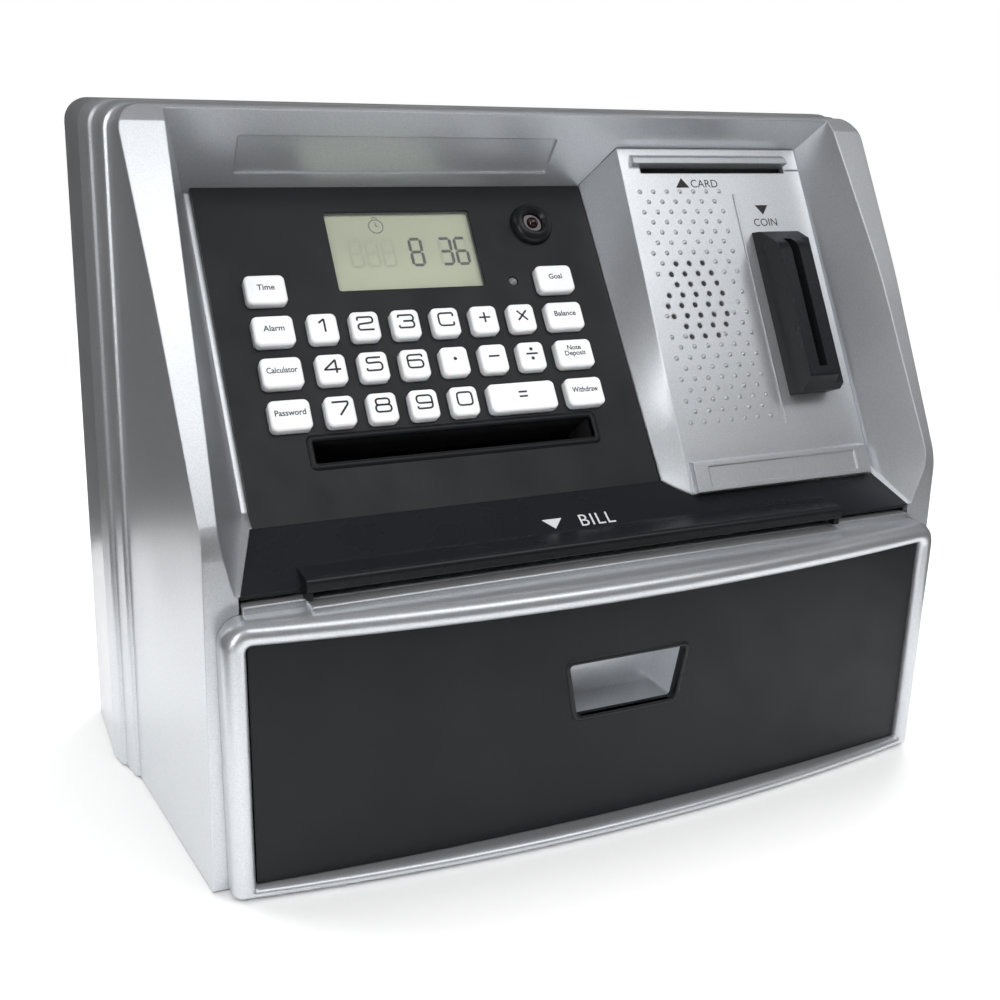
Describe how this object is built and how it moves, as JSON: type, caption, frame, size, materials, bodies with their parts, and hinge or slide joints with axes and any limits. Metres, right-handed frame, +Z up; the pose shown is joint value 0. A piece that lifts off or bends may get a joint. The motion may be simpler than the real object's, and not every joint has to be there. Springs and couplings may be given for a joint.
{
  "type": "toy cash machine savings bank",
  "caption": "Toy cash machine money bank: sloped keypad and display panel, card and coin slots, bill slots and a pull-out money drawer.",
  "frame": {"origin": "on the table under the middle of the bank", "axes": "+Z up, the keypad and drawer face -Y, +X to the viewer's right"},
  "size_m": [0.2592, 0.1395, 0.1993],
  "materials": {
    "silver_paint": "satin metallic paint on plastic",
    "black_satin": "satin",
    "gloss_black": "semi-gloss",
    "black_plastic": "matte",
    "grey_plastic": "matte",
    "key_white": "semi-gloss",
    "clear_window": "clear",
    "lcd_glass": "satin",
    "lens_black": "gloss",
    "lamp_clear": "gloss",
    "foot_rubber": "matte",
    "membrane_rubber": "matte",
    "circuit_board": "satin",
    "speaker_steel": "satin",
    "zinc_steel": "zinc plated",
    "copper_coil": "enamelled wire",
    "white_nylon": "matte"
  },
  "bodies": {
    "case": {"front_shell": "silver_paint", "back_cover": "silver_paint", "case_screws": "zinc_steel", "base_plate": "black_plastic", "rubber_feet": "foot_rubber", "door_frame": "silver_paint", "console_panel": "black_satin", "lcd_window": "clear_window", "lcd_module": "lcd_glass", "camera_housing": "gloss_black", "camera_lens": "lens_black", "status_led": "lamp_clear", "keypad_membrane": "membrane_rubber", "main_board": "circuit_board", "note_guide": "black_plastic", "card_coin_panel": "silver_paint", "speaker": "speaker_steel", "coin_slot_housing": "gloss_black", "coin_chute": "black_plastic", "card_switch": "black_plastic", "bill_ledge": "gloss_black", "feeder_frame": "black_plastic", "feeder_motor": "zinc_steel", "latch_solenoid": "copper_coil", "battery_box": "black_plastic", "battery_contacts": "zinc_steel"},
    "drawer": {"drawer_front": "black_satin", "drawer_handle_cup": "silver_paint", "drawer_tray": "grey_plastic"},
    "latch": {"drawer_latch": "zinc_steel"},
    "battery_door": {"battery_cover": "silver_paint"},
    "feed_roller": {"feed_shaft": "white_nylon", "feed_tyres": "membrane_rubber"},
    "pinch_roller": {"pinch_roller": "white_nylon"},
    "motor_rotor": {"motor_pinion": "white_nylon"},
    "key_time": {"key_time": "key_white"},
    "key_alarm": {"key_alarm": "key_white"},
    "key_calculator": {"key_calculator": "key_white"},
    "key_password": {"key_password": "key_white"},
    "key_goal": {"key_goal": "key_white"},
    "key_balance": {"key_balance": "key_white"},
    "key_note_deposit": {"key_note_deposit": "key_white"},
    "key_withdraw": {"key_withdraw": "key_white"},
    "key_1": {"key_1": "key_white"},
    "key_2": {"key_2": "key_white"},
    "key_3": {"key_3": "key_white"},
    "key_clear": {"key_clear": "key_white"},
    "key_plus": {"key_plus": "key_white"},
    "key_times": {"key_times": "key_white"},
    "key_4": {"key_4": "key_white"},
    "key_5": {"key_5": "key_white"},
    "key_6": {"key_6": "key_white"},
    "key_point": {"key_point": "key_white"},
    "key_minus": {"key_minus": "key_white"},
    "key_divide": {"key_divide": "key_white"},
    "key_7": {"key_7": "key_white"},
    "key_8": {"key_8": "key_white"},
    "key_9": {"key_9": "key_white"},
    "key_0": {"key_0": "key_white"},
    "key_equals": {"key_equals": "key_white"}
  },
  "joints": [
    {"name": "press_time", "type": "slide", "parent": "case", "child": "key_time", "axis": [0, 0.8114, -0.5845], "range_m": [0, 0.0012], "stiffness_N_per_m": 400},
    {"name": "press_alarm", "type": "slide", "parent": "case", "child": "key_alarm", "axis": [0, 0.8114, -0.5845], "range_m": [0, 0.0012], "stiffness_N_per_m": 400},
    {"name": "press_calculator", "type": "slide", "parent": "case", "child": "key_calculator", "axis": [0, 0.8114, -0.5845], "range_m": [0, 0.0012], "stiffness_N_per_m": 400},
    {"name": "press_password", "type": "slide", "parent": "case", "child": "key_password", "axis": [0, 0.8114, -0.5845], "range_m": [0, 0.0012], "stiffness_N_per_m": 400},
    {"name": "press_goal", "type": "slide", "parent": "case", "child": "key_goal", "axis": [0, 0.8114, -0.5845], "range_m": [0, 0.0012], "stiffness_N_per_m": 400},
    {"name": "press_balance", "type": "slide", "parent": "case", "child": "key_balance", "axis": [0, 0.8114, -0.5845], "range_m": [0, 0.0012], "stiffness_N_per_m": 400},
    {"name": "press_note_deposit", "type": "slide", "parent": "case", "child": "key_note_deposit", "axis": [0, 0.8114, -0.5845], "range_m": [0, 0.0012], "stiffness_N_per_m": 400},
    {"name": "press_withdraw", "type": "slide", "parent": "case", "child": "key_withdraw", "axis": [0, 0.8114, -0.5845], "range_m": [0, 0.0012], "stiffness_N_per_m": 400},
    {"name": "press_1", "type": "slide", "parent": "case", "child": "key_1", "axis": [0, 0.8114, -0.5845], "range_m": [0, 0.0012], "stiffness_N_per_m": 400},
    {"name": "press_2", "type": "slide", "parent": "case", "child": "key_2", "axis": [0, 0.8114, -0.5845], "range_m": [0, 0.0012], "stiffness_N_per_m": 400},
    {"name": "press_3", "type": "slide", "parent": "case", "child": "key_3", "axis": [0, 0.8114, -0.5845], "range_m": [0, 0.0012], "stiffness_N_per_m": 400},
    {"name": "press_clear", "type": "slide", "parent": "case", "child": "key_clear", "axis": [0, 0.8114, -0.5845], "range_m": [0, 0.0012], "stiffness_N_per_m": 400},
    {"name": "press_plus", "type": "slide", "parent": "case", "child": "key_plus", "axis": [0, 0.8114, -0.5845], "range_m": [0, 0.0012], "stiffness_N_per_m": 400},
    {"name": "press_times", "type": "slide", "parent": "case", "child": "key_times", "axis": [0, 0.8114, -0.5845], "range_m": [0, 0.0012], "stiffness_N_per_m": 400},
    {"name": "press_4", "type": "slide", "parent": "case", "child": "key_4", "axis": [0, 0.8114, -0.5845], "range_m": [0, 0.0012], "stiffness_N_per_m": 400},
    {"name": "press_5", "type": "slide", "parent": "case", "child": "key_5", "axis": [0, 0.8114, -0.5845], "range_m": [0, 0.0012], "stiffness_N_per_m": 400},
    {"name": "press_6", "type": "slide", "parent": "case", "child": "key_6", "axis": [0, 0.8114, -0.5845], "range_m": [0, 0.0012], "stiffness_N_per_m": 400},
    {"name": "press_point", "type": "slide", "parent": "case", "child": "key_point", "axis": [0, 0.8114, -0.5845], "range_m": [0, 0.0012], "stiffness_N_per_m": 400},
    {"name": "press_minus", "type": "slide", "parent": "case", "child": "key_minus", "axis": [0, 0.8114, -0.5845], "range_m": [0, 0.0012], "stiffness_N_per_m": 400},
    {"name": "press_divide", "type": "slide", "parent": "case", "child": "key_divide", "axis": [0, 0.8114, -0.5845], "range_m": [0, 0.0012], "stiffness_N_per_m": 400},
    {"name": "press_7", "type": "slide", "parent": "case", "child": "key_7", "axis": [0, 0.8114, -0.5845], "range_m": [0, 0.0012], "stiffness_N_per_m": 400},
    {"name": "press_8", "type": "slide", "parent": "case", "child": "key_8", "axis": [0, 0.8114, -0.5845], "range_m": [0, 0.0012], "stiffness_N_per_m": 400},
    {"name": "press_9", "type": "slide", "parent": "case", "child": "key_9", "axis": [0, 0.8114, -0.5845], "range_m": [0, 0.0012], "stiffness_N_per_m": 400},
    {"name": "press_0", "type": "slide", "parent": "case", "child": "key_0", "axis": [0, 0.8114, -0.5845], "range_m": [0, 0.0012], "stiffness_N_per_m": 400},
    {"name": "press_equals", "type": "slide", "parent": "case", "child": "key_equals", "axis": [0, 0.8114, -0.5845], "range_m": [0, 0.0012], "stiffness_N_per_m": 400},
    {"name": "drawer_slide", "type": "slide", "parent": "case", "child": "drawer", "axis": [0, -1, 0], "range_m": [0, 0.078]},
    {"name": "latch_drop", "type": "slide", "parent": "case", "child": "latch", "axis": [0, 0, -1], "range_m": [0, 0.005], "stiffness_N_per_m": 60},
    {"name": "battery_door_pull", "type": "slide", "parent": "case", "child": "battery_door", "axis": [0, 1, 0], "range_m": [0, 0.02]},
    {"name": "feed_spin", "type": "hinge", "parent": "case", "child": "feed_roller", "pos_m": [0, -0.026, 0.0866], "axis": [1, 0, 0], "continuous": true},
    {"name": "pinch_spin", "type": "hinge", "parent": "case", "child": "pinch_roller", "pos_m": [0, -0.026, 0.0762], "axis": [1, 0, 0], "continuous": true},
    {"name": "motor_spin", "type": "hinge", "parent": "case", "child": "motor_rotor", "pos_m": [0, -0.01673, 0.07882], "axis": [1, 0, 0], "continuous": true}
  ],
  "couplings": [
    {"joint": "pinch_spin", "follows": "feed_spin", "ratio": -1},
    {"joint": "motor_spin", "follows": "feed_spin", "ratio": -2}
  ]
}
